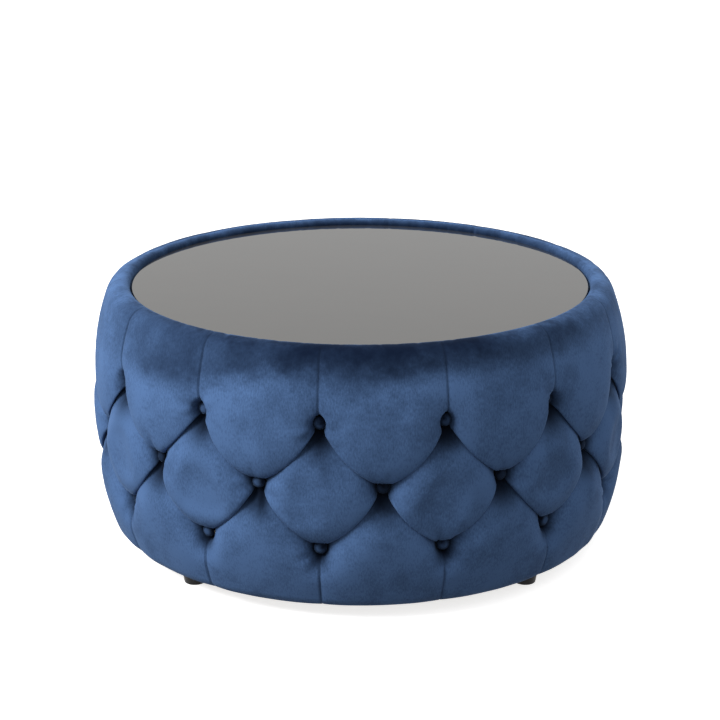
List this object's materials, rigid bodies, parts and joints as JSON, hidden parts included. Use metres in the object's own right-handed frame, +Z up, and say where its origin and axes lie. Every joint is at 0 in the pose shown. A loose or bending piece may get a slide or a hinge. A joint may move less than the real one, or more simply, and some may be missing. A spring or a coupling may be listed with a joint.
{
  "type": "tufted storage ottoman",
  "caption": "Round barrel-sided ottoman in deep-buttoned velvet, with a dark glass top set in a padded rim over a lift-out lid and a lined storage space.",
  "frame": {"origin": "on the floor, on the drum's axis", "axes": "+Z up out of the glass; the pictured front faces -Y and +X is to its right"},
  "size_m": [0.8996, 0.8996, 0.439],
  "materials": {
    "velvet": "deep-pile blue velvet",
    "foam": "cut upholstery foam",
    "plywood": "bare sanded plywood",
    "hardboard": "bare bent hardboard",
    "lining": "black non-woven cloth",
    "smoked_glass": "polished dark smoked glass",
    "bumper": "clear silicone",
    "foot": "moulded black"
  },
  "bodies": {
    "drum": {"base_board": "plywood", "side_shell": "hardboard", "ledge_ring": "plywood", "rim_ring": "plywood", "storage_liner": "lining", "foam_wrap": "foam", "velvet_cover": "velvet", "dust_cover": "lining", "foot_1": "foot", "foot_2": "foot", "foot_3": "foot", "foot_4": "foot", "button_top_01": "velvet", "button_top_02": "velvet", "button_top_03": "velvet", "button_top_04": "velvet", "button_top_05": "velvet", "button_top_06": "velvet", "button_top_07": "velvet", "button_top_08": "velvet", "button_top_09": "velvet", "button_top_10": "velvet", "button_top_11": "velvet", "button_top_12": "velvet", "button_top_13": "velvet", "button_top_14": "velvet", "button_middle_01": "velvet", "button_middle_02": "velvet", "button_middle_03": "velvet", "button_middle_04": "velvet", "button_middle_05": "velvet", "button_middle_06": "velvet", "button_middle_07": "velvet", "button_middle_08": "velvet", "button_middle_09": "velvet", "button_middle_10": "velvet", "button_middle_11": "velvet", "button_middle_12": "velvet", "button_middle_13": "velvet", "button_middle_14": "velvet", "button_bottom_01": "velvet", "button_bottom_02": "velvet", "button_bottom_03": "velvet", "button_bottom_04": "velvet", "button_bottom_05": "velvet", "button_bottom_06": "velvet", "button_bottom_07": "velvet", "button_bottom_08": "velvet", "button_bottom_09": "velvet", "button_bottom_10": "velvet", "button_bottom_11": "velvet", "button_bottom_12": "velvet", "button_bottom_13": "velvet", "button_bottom_14": "velvet"},
    "lid": {"lid_board": "plywood", "glass_bumper_1": "bumper", "glass_bumper_2": "bumper", "glass_bumper_3": "bumper", "glass_bumper_4": "bumper"},
    "glass": {"glass_top": "smoked_glass"}
  },
  "joints": [
    {"name": "lid_lift", "type": "slide", "parent": "drum", "child": "lid", "axis": [0, 0, 1], "range_m": [0, 0.25]},
    {"name": "glass_lift", "type": "slide", "parent": "lid", "child": "glass", "axis": [0, 0, 1], "range_m": [0, 0.12]}
  ]
}
